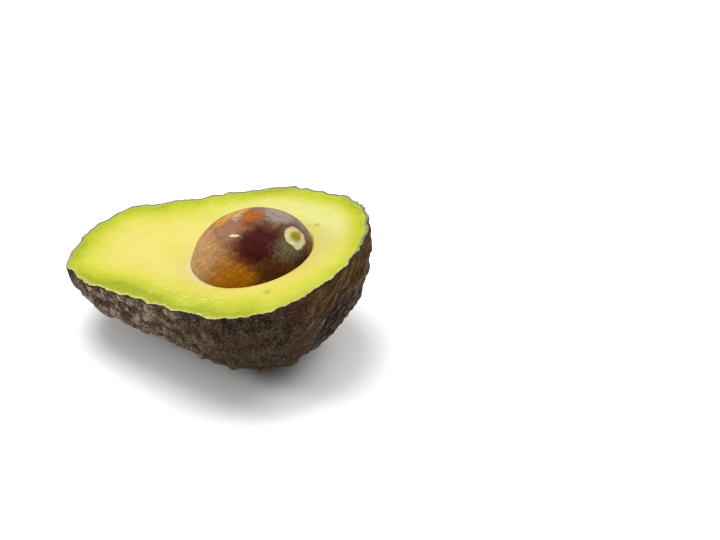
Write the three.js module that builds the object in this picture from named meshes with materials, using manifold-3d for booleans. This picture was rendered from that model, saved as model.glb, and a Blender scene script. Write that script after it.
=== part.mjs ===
// Half of a ripe avocado with its seed, cut lengthways and lying on its back.
// Units are millimetres. The fruit's own frame has u along the fruit, from the neck to the blossom end,
// v across the cut and n up out of the cut, with its origin halfway along the cut.
import * as THREE from "three";
import { mergeVertices } from "three/addons/utils/BufferGeometryUtils.js";
import Module from "manifold-3d";

const wasm = await Module();
wasm.setup();

// Outline of the cut: half width and sideways drift as sine series round the fruit, neck to blossom end
const LENGTH = 100.5;
const HALF_WIDTH_SINES = [34.1, -3.3, 1.6, 1.25, 0.25, -0.45]; // plain oval, pear shape, then the neck's taper
const DRIFT = 3.7; // how far the blossom end lies to one side of the neck
const BOW = 2.1; // how far the fruit bends to the other side on the way
const SHOULDER = 0.8; // how far its two shoulders bend back again

// The round back: each cross-section is a circle whose centre lies a little below the cut
const CENTRE_DEPTH = 0.08; // as a share of the half width
const DEPTH_STRETCH = 1.035;

// Skin: a leathery shell with pebbles on the outside and a smooth inside
const SKIN = 1.4;
const GAP = 0.3; // clearance between neighbouring pieces
const PEBBLE_SPACING = 5.2;
const PEBBLE_STRETCH = 1.35; // pebbles are longer along the fruit
const PEBBLE_HEIGHT = 1.6; // from the bottom of a groove to the top of a pebble
const PEBBLE_SINK = 0.8; // how far the grooves lie below the plain surface
const PEBBLE_TOP = 0.05; // a pebble is flat nearer to its middle than this share of the spacing
const PEBBLE_FOOT = 0.75; // and has sunk into the groove at this share
const PEBBLE_BLEND = 9; // a larger number gives narrower, sharper grooves

// Scar where the stem sat, beside the tip of the neck and just below the cut: a shallow dimple with a
// raised rim, which the cut grazes. All but its radius, depth and rim height are shares of the radius.
const SCAR = { radius: 4, depth: 0.9, flat: 0.2, rim: 0.9, rimPlace: 1.15, rimWidth: 0.35, calm: 1.8 };
const SCAR_MIDDLE = new THREE.Vector3(-48.7, -6.3, -4.6);

// Seed: an egg with its blunt pale end towards the blossom end, tipped up out of the cut
const SEED = { length: 40.7, width: 35, height: 31.4 };
const SEED_PLACE = new THREE.Vector3(12.9, -4.2, -2.5);
const SEED_TURN = THREE.MathUtils.degToRad(13); // its long axis lies across the fruit's by this much
const SEED_TIP_UP = THREE.MathUtils.degToRad(12.5);
const SEED_EGG = 0.02; // how much slimmer the pale end is than the other
// The round pale mark on that end, raised inside its edge and dimpled in its middle.
// Edge and middle are the shares of its radius over which it rises and sinks.
const SEED_FACE = { radius: 3.7, rise: 0.35, edge: [0.8, 1.1], dimple: 0.5, middle: [0.05, 0.55] };
const SEED_FACE_TURN = new THREE.Vector3(0.88, -0.29, 0.36).normalize();

// How the half lies: neck low, blossom end up, on a small flat spot under its weight
const TILT = THREE.MathUtils.degToRad(11);
const FLAT_DEPTH = 1.05; // how much of the round back the flat spot takes off
const FLAT_SHIFT = -3; // the pebbles die away round a point this far towards the neck
const CALM_INNER = 9; // no pebbles nearer than this to the middle of the flat spot
const CALM_OUTER = 14; // full pebbles from here

// Fineness of each surface, as subdivisions of an icosahedron's edges
const FINE_SKIN = 26;
const FINE_INSIDE = 10;
const FINE_SEED = 9;

const halfWidth = (t) =>
  HALF_WIDTH_SINES.reduce((sum, size, k) => sum + size * Math.sin((k + 1) * t), 0);
const drift = (t) =>
  (DRIFT * (1 - Math.cos(3 * t))) / 2 - BOW * (1 - Math.cos(2 * t)) + (SHOULDER * (1 - Math.cos(4 * t))) / 2;

// A point of the whole fruit's plain surface, from a point of the unit sphere with x along the fruit.
function bodyPoint({ x, y, z }) {
  const t = Math.acos(THREE.MathUtils.clamp(-x, -1, 1));
  const turn = Math.atan2(z, y);
  const width = halfWidth(t);
  const sink = CENTRE_DEPTH * width;
  const radius = Math.hypot(width, sink);
  return new THREE.Vector3(
    (-LENGTH / 2) * Math.cos(t),
    drift(t) + radius * Math.cos(turn),
    DEPTH_STRETCH * (radius * Math.sin(turn) - sink),
  );
}

// A point of the seed's plain surface, in the fruit's frame, and the way it is tipped.
const seedTurn = new THREE.Quaternion().setFromEuler(new THREE.Euler(0, -SEED_TIP_UP, SEED_TURN, "ZYX"));
function seedPoint(direction) {
  const slim = 1 - SEED_EGG * direction.x;
  const point = new THREE.Vector3(
    (SEED.length / 2) * direction.x,
    (SEED.width / 2) * direction.y * slim,
    (SEED.height / 2) * direction.z * slim,
  );
  return point.applyQuaternion(seedTurn).add(SEED_PLACE);
}

// A closed surface: a fine icosahedron whose points are moved by place(), then along their normals by lift().
function closedSurface(fineness, place, lift) {
  const ball = new THREE.IcosahedronGeometry(1, fineness);
  ball.deleteAttribute("normal");
  ball.deleteAttribute("uv");
  const surface = mergeVertices(ball, 1e-5);
  const position = surface.getAttribute("position");
  const directions = [];
  for (let i = 0; i < position.count; i++) {
    const direction = new THREE.Vector3().fromBufferAttribute(position, i).normalize();
    directions.push(direction);
    position.setXYZ(i, ...place(direction));
  }
  surface.computeVertexNormals();
  const normal = surface.getAttribute("normal");
  for (let i = 0; i < position.count; i++) {
    const point = new THREE.Vector3().fromBufferAttribute(position, i);
    const outwards = new THREE.Vector3().fromBufferAttribute(normal, i);
    position.setXYZ(i, ...point.addScaledVector(outwards, lift(point, directions[i])));
  }
  surface.deleteAttribute("normal");
  return surface;
}

function solidOf(geometry) {
  return new wasm.Manifold(
    new wasm.Mesh({
      numProp: 3,
      vertProperties: geometry.getAttribute("position").array,
      triVerts: new Uint32Array(geometry.index.array),
    }),
  );
}

function geometryOf(solid) {
  const mesh = solid.getMesh();
  return new THREE.BufferGeometry()
    .setAttribute("position", new THREE.BufferAttribute(mesh.vertProperties, 3))
    .setIndex(new THREE.BufferAttribute(mesh.triVerts, 1));
}

// A block that fills everything below a level, in the frame that matrix leads back to.
function blockBelow(level, matrix = new THREE.Matrix4()) {
  const side = 3 * LENGTH;
  const block = new THREE.BoxGeometry(side, side, side);
  block.deleteAttribute("normal");
  block.deleteAttribute("uv");
  return solidOf(mergeVertices(block.translate(0, 0, level - side / 2).applyMatrix4(matrix)));
}

// Pebbles: rounded heaps about points that are scattered one to a cell of a grid
const share = (x) => x - Math.floor(x);
const scatter = (i, j, k, seed) =>
  share(Math.sin(i * 127.1 + j * 311.7 + k * 74.7 + seed * 53.3) * 43758.5453);

function pebbles(point) {
  const q = [point.x / PEBBLE_STRETCH, point.y, point.z].map((x) => x / PEBBLE_SPACING);
  const cell = q.map(Math.floor);
  let sum = 0;
  for (let i = cell[0] - 1; i <= cell[0] + 1; i++)
    for (let j = cell[1] - 1; j <= cell[1] + 1; j++)
      for (let k = cell[2] - 1; k <= cell[2] + 1; k++) {
        const away = Math.hypot(
          q[0] - i - scatter(i, j, k, 0),
          q[1] - j - scatter(i, j, k, 1),
          q[2] - k - scatter(i, j, k, 2),
        );
        sum += Math.exp(-PEBBLE_BLEND * away);
      }
  const nearest = -Math.log(sum) / PEBBLE_BLEND;
  return 1 - THREE.MathUtils.smoothstep(nearest, PEBBLE_TOP, PEBBLE_FOOT);
}

// Lie of the half: its lowest point once tilted, found on the plain surface
const tilt = new THREE.Matrix4().makeRotationY(-TILT);
function lowestPoint() {
  const surface = closedSurface(FINE_SKIN, bodyPoint, () => 0);
  const position = surface.getAttribute("position");
  let lowest = new THREE.Vector3(0, 0, Infinity);
  for (let i = 0; i < position.count; i++) {
    const point = new THREE.Vector3().fromBufferAttribute(position, i).applyMatrix4(tilt);
    if (point.z < lowest.z) lowest = point;
  }
  return lowest;
}
const lowest = lowestPoint();
const restPoint = new THREE.Vector3(lowest.x + FLAT_SHIFT, lowest.y, lowest.z + FLAT_DEPTH);
const restInFruit = restPoint.clone().applyMatrix4(tilt.clone().invert());

function stemScar(point) {
  const away = SCAR_MIDDLE.distanceTo(point) / SCAR.radius;
  const dimple = -SCAR.depth * (1 - THREE.MathUtils.smoothstep(away, SCAR.flat, 1));
  const rim = SCAR.rim * Math.exp(-(((away - SCAR.rimPlace) / SCAR.rimWidth) ** 2));
  return { lift: dimple + rim, calm: THREE.MathUtils.smoothstep(away, 1, SCAR.calm) };
}

function skinLift(point) {
  const scar = stemScar(point);
  const calm = THREE.MathUtils.smoothstep(point.distanceTo(restInFruit), CALM_INNER, CALM_OUTER);
  const heaps = PEBBLE_HEIGHT * pebbles(point) - PEBBLE_SINK;
  return scar.lift + scar.calm * calm * heaps;
}

function seedLift(_, direction) {
  const away = direction.angleTo(SEED_FACE_TURN) * (SEED.width / 2) / SEED_FACE.radius;
  const mound = SEED_FACE.rise * (1 - THREE.MathUtils.smoothstep(away, ...SEED_FACE.edge));
  const dimple = SEED_FACE.dimple * (1 - THREE.MathUtils.smoothstep(away, ...SEED_FACE.middle));
  return mound - dimple;
}

const belowCut = blockBelow(0);
const fruitToPart = new THREE.Matrix4().makeTranslation(-restPoint.x, -restPoint.y, -restPoint.z).multiply(tilt);
const belowRest = blockBelow(0, fruitToPart.clone().invert());

function skinSolid() {
  const outside = solidOf(closedSurface(FINE_SKIN, bodyPoint, skinLift));
  const inside = solidOf(closedSurface(FINE_INSIDE, bodyPoint, () => -SKIN));
  return outside.intersect(belowCut).subtract(inside).subtract(belowRest);
}

function fleshSolid() {
  const body = solidOf(closedSurface(FINE_INSIDE, bodyPoint, () => -SKIN - GAP));
  const cavity = solidOf(closedSurface(FINE_SEED, seedPoint, (p, d) => seedLift(p, d) + GAP));
  return body.intersect(belowCut).subtract(cavity);
}

function seedSolid() {
  return solidOf(closedSurface(FINE_SEED, seedPoint, seedLift));
}

const finishes = {
  skin: new THREE.MeshStandardMaterial({ color: 0x3b332b, roughness: 0.6, metalness: 0 }),
  flesh: new THREE.MeshStandardMaterial({ color: 0xe3dd6c, roughness: 0.5, metalness: 0 }),
  seed: new THREE.MeshStandardMaterial({ color: 0x7a4219, roughness: 0.4, metalness: 0 }),
};

const fruit = new THREE.Group();
const solids = { skin: skinSolid(), flesh: fleshSolid(), seed: seedSolid() };
for (const [name, solid] of Object.entries(solids)) {
  const mesh = new THREE.Mesh(geometryOf(solid), finishes[name]);
  mesh.name = name;
  fruit.add(mesh);
}
fruit.applyMatrix4(fruitToPart);

const part = new THREE.Group();
part.add(fruit);
export default part;
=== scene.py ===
# %% [markdown]
# # Half an avocado with its seed
# A ripe avocado has been cut lengthways and one half lies on its round back, with the seed still in its
# hollow. Three things grew together in it, and each is one piece here: a thin leathery skin covered in
# pebbles, the soft flesh, and the big seed in its papery brown coat. The solid model gives their size and
# place. This script puts a finer surface on each of them, and adds the colours, the light and the camera.

# %% Load the solid model
import itertools
import math
from types import SimpleNamespace

import bpy
import numpy as np
from mathutils import Matrix, Vector


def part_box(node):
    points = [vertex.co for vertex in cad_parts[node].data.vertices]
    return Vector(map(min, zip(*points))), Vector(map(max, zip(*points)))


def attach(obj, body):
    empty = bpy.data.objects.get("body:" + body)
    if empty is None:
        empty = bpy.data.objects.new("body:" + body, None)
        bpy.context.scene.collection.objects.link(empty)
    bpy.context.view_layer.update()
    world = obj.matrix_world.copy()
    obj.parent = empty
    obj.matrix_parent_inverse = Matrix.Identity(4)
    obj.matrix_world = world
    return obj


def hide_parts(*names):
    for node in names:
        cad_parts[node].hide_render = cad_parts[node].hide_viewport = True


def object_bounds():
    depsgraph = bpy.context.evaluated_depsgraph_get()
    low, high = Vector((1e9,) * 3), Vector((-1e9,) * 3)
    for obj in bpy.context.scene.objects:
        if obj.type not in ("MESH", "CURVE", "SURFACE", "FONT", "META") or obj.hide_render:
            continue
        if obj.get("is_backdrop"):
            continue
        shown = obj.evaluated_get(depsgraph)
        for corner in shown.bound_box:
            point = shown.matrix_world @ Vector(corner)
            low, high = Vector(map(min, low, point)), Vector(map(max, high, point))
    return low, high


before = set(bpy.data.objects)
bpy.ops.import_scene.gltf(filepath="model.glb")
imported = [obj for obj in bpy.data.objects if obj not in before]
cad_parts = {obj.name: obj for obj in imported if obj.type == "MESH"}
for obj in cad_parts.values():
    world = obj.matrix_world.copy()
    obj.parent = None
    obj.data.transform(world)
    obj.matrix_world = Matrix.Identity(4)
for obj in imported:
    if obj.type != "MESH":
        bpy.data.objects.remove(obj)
cad_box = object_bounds()
MM = 0.001
print("nodes of the solid model:", sorted(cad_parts))

# %% [markdown]
# ## The form of the fruit
# An avocado has no corners, so a handful of numbers can hold its whole form. The outline of the cut is a
# sum of sine waves, which keeps it smooth all the way round: the first wave is a plain oval, the second
# makes it a pear, and the others shape the neck. Every slice across the fruit is a circle. A sculpted mesh
# could hold the same form, but a formula can be asked for as many points as a finish needs. All lengths
# are millimetres, in the fruit's own frame: u along it, from the neck to the blossom end, v across the
# cut, and n up out of the cut.

# %% The form of the fruit
LENGTH = 100.5
HALF_WIDTH_SINES = (34.1, -3.3, 1.6, 1.25, 0.25, -0.45)
DRIFT = 3.7
BOW = 2.1
SHOULDER = 0.8
CENTRE_DEPTH = 0.08
DEPTH_STRETCH = 1.035


def half_width(t):
    """Half the width of the cut, for t from 0 at the neck's tip to pi at the blossom end."""
    return sum(size * np.sin((k + 1) * t) for k, size in enumerate(HALF_WIDTH_SINES))


def drift(t):
    """How far the middle of the cut lies to one side: the fruit bends a little."""
    drifting = DRIFT * (1 - np.cos(3 * t)) / 2 - BOW * (1 - np.cos(2 * t))
    return drifting + SHOULDER * (1 - np.cos(4 * t)) / 2


def back_surface(around, down):
    """Points of the plain round back. around goes round the cut, down goes from 0 at the cut to pi/2."""
    x = np.cos(around) * np.cos(down)
    y = np.sin(around) * np.cos(down)
    t = np.arccos(np.clip(-x, -1, 1))
    overhang = math.atan(CENTRE_DEPTH)
    turn = np.arctan2(-np.sin(down), y) + math.pi / 2
    turn = turn * (1 + 2 * overhang / math.pi) - math.pi / 2
    width = half_width(t)
    sink = CENTRE_DEPTH * width
    radius = np.hypot(width, sink)
    v = drift(t) + radius * np.cos(turn)
    n = DEPTH_STRETCH * (radius * np.sin(turn) - sink)
    return np.stack([-LENGTH / 2 * np.cos(t), v, n], -1)


print("the cut is", (2 * half_width(np.linspace(0, math.pi, 200)).max()).round(1), "mm wide")

# %% [markdown]
# ## The form of the seed
# The seed is a slightly flattened egg. It sits a little off the middle of the fruit, with one end tipped up
# out of the cut. To find its surface along any line from its middle, the script asks how far along the
# line the egg's own formula reaches one. The same question answered in the plane of the cut gives the
# edge of the hollow, so the flesh always fits the seed.

# %% The form of the seed
SEED_RADII = np.array((20.35, 17.5, 15.7))
SEED_MIDDLE = np.array((12.9, -4.2, -2.5))
SEED_EGG = 0.02
SEED_TURN = math.radians(13)
SEED_TIP_UP = math.radians(12.5)
PALE_END = np.array((0.88, -0.29, 0.36))
PALE_RADIUS = 4.1
HALVINGS = 40

seed_axes = np.array(Matrix.Rotation(SEED_TURN, 3, "Z") @ Matrix.Rotation(-SEED_TIP_UP, 3, "Y"))


def seed_point(direction):
    """The seed's plain surface, from directions in the seed's own unit sphere."""
    slim = 1 - SEED_EGG * direction[..., :1]
    scaled = direction * SEED_RADII * np.concatenate([np.ones_like(slim), slim, slim], -1)
    return scaled @ seed_axes.T + SEED_MIDDLE


def seed_reach(start, ray):
    """How far from start along ray the seed's surface lies, by halving the distance again and again."""
    near = np.zeros(ray.shape[:-1])
    far = np.full(ray.shape[:-1], 2 * SEED_RADII[0])
    for _ in range(HALVINGS):
        middle = (near + far) / 2
        q = (start + middle[..., None] * ray - SEED_MIDDLE) @ seed_axes / SEED_RADII
        slim = 1 - SEED_EGG * q[..., 0]
        inside = q[..., 0] ** 2 + (q[..., 1] / slim) ** 2 + (q[..., 2] / slim) ** 2 < 1
        near = np.where(inside, middle, near)
        far = np.where(inside, far, middle)
    return near


print("the seed rises", seed_reach(SEED_MIDDLE, np.array((0, 0, 1.0))).round(1), "mm above its middle")

# %% [markdown]
# ## How the half lies
# On its round back the half rolls until its weight is over what it stands on: the neck dips and the blossom
# end rises. The model was laid that way and then moved so that the spot it rests on is the origin. The
# tilt is known. The move is read off the solid model: the seed's box is compared with the box of the same
# seed in the tilted fruit, and the difference is the way from one frame to the other.

# %% How the half lies
TILT = math.radians(11)
SEED_RINGS = 210
SEED_COLUMNS = 300

tilt = np.array(Matrix.Rotation(-TILT, 3, "Y"))


def ball_grid(axis, rings, columns):
    """Directions on rings round an axis, from the axis' own end of the ball to the far end."""
    side = np.cross(axis, (0, 0, 1))
    side = side / np.linalg.norm(side)
    other = np.cross(axis, side)
    away = np.linspace(0, math.pi, rings + 2)[1:-1, None]
    around = np.linspace(0, 2 * math.pi, columns, endpoint=False)[None, :]
    spokes = np.cos(around)[..., None] * side + np.sin(around)[..., None] * other
    return np.cos(away)[..., None] * axis + np.sin(away)[..., None] * spokes


pale_axis = PALE_END / np.linalg.norm(PALE_END)
seed_directions = ball_grid(pale_axis, SEED_RINGS, SEED_COLUMNS)
tilted_seed = seed_point(seed_directions).reshape(-1, 3) @ tilt.T
seed_low, seed_high = (np.array(corner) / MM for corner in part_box("seed"))
to_part = (seed_low + seed_high) / 2 - (tilted_seed.min(0) + tilted_seed.max(0)) / 2


def lay(points):
    """From the fruit's own frame, in millimetres, to the part's frame, in metres."""
    return (points @ tilt.T + to_part) * MM


def unlay(points):
    """From the part's frame, in metres, back to the fruit's own frame, in millimetres."""
    return (points / MM - to_part) @ tilt


print("the cut's middle in the part's frame, in mm:", (lay(np.zeros(3)) / MM).round(2))

# %% [markdown]
# ## Patterns that nature repeats
# Pebbled skin is a crowd of small heaps, each of its own size and in no rows. Such a pattern is made by
# scattering one point in every cell of a grid and asking each place how near its nearest point is. The
# scatter comes from a formula and not from a random generator, so every run gives the same fruit, and the
# heaps lie where the solid model has its own. A second pattern, soft noise, is the same scatter blended
# smoothly from one cell to the next, for dents and drifts that have no centres.

# %% Patterns that nature repeats
SCATTER_STEPS = (127.1, 311.7, 74.7, 53.3)
SCATTER_SPREAD = 43758.5453


def smooth(x, start, end):
    """0 up to start, 1 past end, and a soft curve between. start may lie above end."""
    s = np.clip((x - start) / (end - start), 0, 1)
    return s * s * (3 - 2 * s)


def hump(x, middle, width):
    """1 at the middle of a soft hump, which fades away on both sides."""
    return np.exp(-(((x - middle) / width) ** 2))


def scatter(*cell_and_seed):
    """A number from 0 to 1 for each cell i, j, k and seed. It looks random and never changes."""
    x = np.sin(sum(number * step for number, step in zip(cell_and_seed, SCATTER_STEPS))) * SCATTER_SPREAD
    return x - np.floor(x)


def heaps(points, spacing, stretch=1.0, top=0.05, foot=0.75, blend=9, seed=0):
    """1 on top of a heap and 0 in the grooves between heaps that lie spacing apart."""
    q = points / (np.array((stretch, 1, 1)) * spacing)
    cell = np.floor(q)
    total = 0
    for step in itertools.product((-1, 0, 1), repeat=3):
        corner = cell + step
        i, j, k = np.moveaxis(corner, -1, 0)
        middle = corner + np.stack([scatter(i, j, k, seed + draw) for draw in range(3)], -1)
        total = total + np.exp(-blend * np.linalg.norm(q - middle, axis=-1))
    return 1 - smooth(-np.log(total) / blend, top, foot)


def soft_noise(q, seed=0):
    """Smooth noise from -1 to 1 whose hills are about one unit of q apart."""
    cell = np.floor(q)
    blend = (q - cell) ** 2 * (3 - 2 * (q - cell))
    total = 0
    for step in itertools.product((0, 1), repeat=3):
        weight = np.prod(np.where(step, blend, 1 - blend), -1)
        total = total + weight * scatter(*np.moveaxis(cell + step, -1, 0), seed)
    return 2 * total - 1


# %% [markdown]
# ## From rings of points to a closed mesh
# Skin, flesh and seed can all be drawn as rings: start at a point, let rings grow from it over the surface,
# and close them on a last point. The skin's rings go up its outside, over the thin cut edge and back down
# its inside. The flesh's rings start at the bottom of the hollow, cross the cut and go down under the
# skin. This one way of building gives closed meshes whose edges follow the edges of the real thing, so
# the rim stays crisp. Numbers that a finish needs later, such as the distance from the skin, are stored
# on the points as attributes.

# %% From rings of points to a closed mesh


def grid_normals(grid):
    """Unit normals of a grid of rings, from the ways along and across the rings."""
    along = np.roll(grid, -1, axis=1) - np.roll(grid, 1, axis=1)
    across = np.gradient(grid, axis=0)
    normal = np.cross(across, along)
    return normal / np.linalg.norm(normal, axis=2, keepdims=True)


def ring_faces(rows, columns):
    """Four-sided faces between rings, and a fan of triangles at each end, on the last two points."""
    ring = np.arange(columns)
    following = np.roll(ring, -1)
    quads = [
        np.stack([row * columns + ring, row * columns + following,
                  (row + 1) * columns + following, (row + 1) * columns + ring], 1)
        for row in range(rows - 1)
    ]
    first, last = rows * columns, rows * columns + 1
    final = (rows - 1) * columns
    fans = [
        np.stack([np.full(columns, first), following, ring], 1),
        np.stack([np.full(columns, last), final + ring, final + following], 1),
    ]
    return [tuple(face) for block in quads + fans for face in block.tolist()]


def store(mesh, label, values):
    """Stores one number or one vector for each point of a mesh."""
    if values.shape[1] == 1:
        mesh.attributes.new(label, "FLOAT", "POINT").data.foreach_set("value", values.ravel())
    else:
        mesh.attributes.new(label, "FLOAT_VECTOR", "POINT").data.foreach_set("vector", values.ravel())


def closed_piece(name, rings, attributes, finish, node):
    """A closed mesh from rings of points in metres, which stands for a node of the solid model."""
    rows, columns = rings.shape[:2]
    ends = [rings[0].mean(0), rings[-1].mean(0)]
    points = np.concatenate([rings.reshape(-1, 3), ends])
    faces = ring_faces(rows, columns)
    mesh = bpy.data.meshes.new(name)
    mesh.from_pydata(points.tolist(), [], faces)
    mesh.validate()
    a, b, c = (points[np.array([face[k] for face in faces])] for k in range(3))
    if np.einsum("ij,ij->", a, np.cross(b, c)) < 0:
        mesh.flip_normals()
    for label, values in attributes.items():
        values = values.reshape(rows * columns, -1)
        ends = [values[:columns].mean(0), values[-columns:].mean(0)]
        store(mesh, label, np.concatenate([values, ends]).astype(np.float32))
    mesh.shade_smooth()
    mesh.materials.append(finish)
    piece = bpy.data.objects.new(name, mesh)
    bpy.context.scene.collection.objects.link(piece)
    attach(piece, "root")
    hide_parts(node)
    mesh.calc_loop_triangles()
    print(name, "has", len(mesh.loop_triangles), "triangles")


# %% [markdown]
# ## Small words for shader nodes
# A finish in Blender is a graph of nodes. Written out in full, each node takes several lines and the idea
# behind the finish is lost. These helpers make one node a line, so that a material below reads like a
# recipe: some noise, a ramp of colours, a mix. new_finish puts a material on the bench, and each word after
# it adds a node to that one. Textures are measured in millimetres on the fruit itself.

# %% Words for places and noise
bench = SimpleNamespace()


def plug(socket, value):
    """Links a socket to another node's output, or sets it to a plain value."""
    if isinstance(value, bpy.types.NodeSocket):
        bench.tree.links.new(value, socket)
    else:
        socket.default_value = value


def new_finish(name):
    """Puts a new material on the bench and returns it with the sockets of its shader."""
    finish = bpy.data.materials.new(name)
    finish.use_nodes = True
    bench.tree = finish.node_tree
    return finish, bench.tree.nodes["Principled BSDF"].inputs


def new_node(kind):
    """A node of a kind, in the finish that is on the bench."""
    return bench.tree.nodes.new(kind)


def millimetres(stretch=(1, 1, 1)):
    """The place on the part in millimetres, each way divided by stretch."""
    place = new_node("ShaderNodeTexCoord").outputs["Object"]
    scaled = new_node("ShaderNodeVectorMath")
    scaled.operation = "MULTIPLY"
    plug(scaled.inputs[0], place)
    scaled.inputs[1].default_value = [1 / (MM * way) for way in stretch]
    return scaled.outputs[0]


def stored(label, output="Fac"):
    """A number or vector that the mesh holds for each of its points."""
    made = new_node("ShaderNodeAttribute")
    made.attribute_name = label
    return made.outputs[output]


def noise(where, size, detail=3.0, roughness=0.5, distortion=0.0, output="Fac"):
    """Noise whose marks are about size across, as a number or a colour."""
    made = new_node("ShaderNodeTexNoise")
    plug(made.inputs["Vector"], where)
    made.inputs["Scale"].default_value = 1 / size
    made.inputs["Detail"].default_value = detail
    made.inputs["Roughness"].default_value = roughness
    made.inputs["Distortion"].default_value = distortion
    return made.outputs[output]


def granules(where, size):
    """Small round grains, 1 in their middles and 0 between them."""
    made = new_node("ShaderNodeTexVoronoi")
    made.feature = "SMOOTH_F1"
    plug(made.inputs["Vector"], where)
    made.inputs["Scale"].default_value = 1 / size
    made.inputs["Smoothness"].default_value = 0.3
    return fade(made.outputs["Distance"], 0.12, 0.72, 1, 0)


def pushed_about(where, size, amount):
    """The same place pushed about by noise, so that what is drawn there loses its even grid."""
    push = new_node("ShaderNodeVectorMath")
    push.operation = "MULTIPLY_ADD"
    plug(push.inputs[0], noise(where, size, detail=5, roughness=0.6, output="Color"))
    push.inputs[1].default_value = (amount, amount, amount)
    centred = new_node("ShaderNodeVectorMath")
    centred.operation = "SUBTRACT"
    plug(centred.inputs[0], where)
    centred.inputs[1].default_value = (amount / 2, amount / 2, amount / 2)
    plug(push.inputs[2], centred.outputs[0])
    return push.outputs[0]


# %% [markdown]
# ## Words for numbers and colours
# The fade is the word used most: it turns a number into an amount, and its settings say from where to where
# that changes and how much it is before and after. Where a fade follows the fruit, the first two are
# millimetres along it, from -50 at the neck to 50 at the blossom end.

# %% Words for numbers and colours


def calculate(operation, *values, clamp=False):
    """One sum on numbers."""
    made = new_node("ShaderNodeMath")
    made.operation = operation
    made.use_clamp = clamp
    for socket, value in zip(made.inputs, values):
        plug(socket, value)
    return made.outputs[0]


def times(first, *others):
    """All the values multiplied."""
    for value in others:
        first = calculate("MULTIPLY", first, value)
    return first


def shaken(value, marks, amount):
    """The value with the marks of a noise added, which move it by half of amount either way."""
    return calculate("ADD", value, calculate("MULTIPLY_ADD", marks, amount, -amount / 2))


def fade(value, low, high, at_low=0.0, at_high=1.0):
    """A soft step: at_low below low, at_high above high."""
    made = new_node("ShaderNodeMapRange")
    made.interpolation_type = "SMOOTHSTEP"
    for socket, setting in zip(made.inputs, (value, low, high, at_low, at_high)):
        plug(socket, setting)
    return made.outputs[0]


def mix(amount, first, second, how="MIX"):
    """The first colour with an amount of the second in it or over it."""
    made = new_node("ShaderNodeMix")
    made.data_type = "RGBA"
    made.blend_type = how
    for index, value in ((0, amount), (6, first), (7, second)):
        plug(made.inputs[index], (*value, 1) if isinstance(value, tuple) else value)
    return made.outputs[2]


def ramp(value, stops):
    """Colours that follow a value, from stops of (value, colour) between 0 and 1."""
    made = new_node("ShaderNodeValToRGB")
    plug(made.inputs[0], value)
    elements = made.color_ramp.elements
    while len(elements) < len(stops):
        elements.new(0.5)
    for element, (place, colour) in zip(elements, stops):
        element.position = place
        element.color = (*colour, 1)
    return made.outputs[0]


def bump(height, depth):
    """A bump of depth millimetres between height 0 and height 1."""
    made = new_node("ShaderNodeBump")
    made.inputs["Distance"].default_value = depth * MM
    plug(made.inputs["Height"], height)
    return made.outputs[0]


def complete(finish, shader, colour, roughness, shine, relief, depth):
    """Connects what a finish worked out to its shader."""
    plug(shader["Base Color"], colour)
    plug(shader["Roughness"], roughness)
    plug(shader["Normal"], bump(relief, depth))
    shader["Specular IOR Level"].default_value = shine
    print(finish.name, "is made of", len(finish.node_tree.nodes), "nodes")
    return finish


def light_sinks_in(shader, weight, reach, depth):
    """Lets light spread under the surface, for each colour by its reach times depth millimetres."""
    shader["Subsurface Weight"].default_value = weight
    shader["Subsurface Radius"].default_value = reach
    shader["Subsurface Scale"].default_value = depth * MM


# %% [markdown]
# ## The hide
# Seen close, the skin is not one brown. The grooves between the pebbles are nearly black, their sides are
# dark brown and their tops are tan: partly the skin's own tone, and partly painted shade in the grooves and
# painted light on the tops. The mesh stores how high each place lies on its pebble. Grains, grit and pores
# shake that height, and a ramp turns it into a colour, so the colours, and with them the painted light and
# shade, follow the relief.
# Slow noise then drifts the hue, because whole regions of a ripe skin lean to purple or to olive.

# %% The hide
# The darkest and lightest of these are partly painted: shade in the grooves and light on the pebble tops.
SHADE_AND_GROOVE_BLACK = (0.010, 0.006, 0.003)
HIDE_BROWN = (0.044, 0.024, 0.010)
LIGHTER_BROWN = (0.100, 0.062, 0.033)
PEBBLE_TAN = (0.245, 0.188, 0.132)
PLUM = (0.062, 0.015, 0.007)
OLIVE = (0.098, 0.076, 0.026)
HIDE_STOPS = ((0.05, SHADE_AND_GROOVE_BLACK), (0.33, HIDE_BROWN), (0.62, LIGHTER_BROWN), (0.95, PEBBLE_TAN))
GRAIN_SIZE, GRIT_SIZE, PORE_SIZE = 0.95, 0.8, 0.35
GRAIN_PUSH = (2.4, 1.1)
GRAINS_IN_TONE, GRIT_IN_TONE, PORES_IN_TONE = 0.34, 1.9, 1.0
PEBBLES_SHOW = (-20, 15, 1.0, 0.35)
PALER_ALONG = (-35, 20, 0.03, 0.05)
PLUM_ALONG = (12, 30, 0.35, 1)
PLUM_REGION, OLIVE_REGION = 9, 14


def skin_marks():
    """What the finish of the skin is made from: numbers stored in the mesh, and noise of all sizes."""
    place = millimetres()
    return SimpleNamespace(
        place=place,
        height=stored("pebble"),
        along=stored("along"),
        near_side=stored("near_side"),
        grains=granules(pushed_about(place, *GRAIN_PUSH), GRAIN_SIZE),
        grit=noise(place, GRIT_SIZE, detail=4, roughness=0.7),
        pores=noise(place, PORE_SIZE, detail=2),
    )


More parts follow.
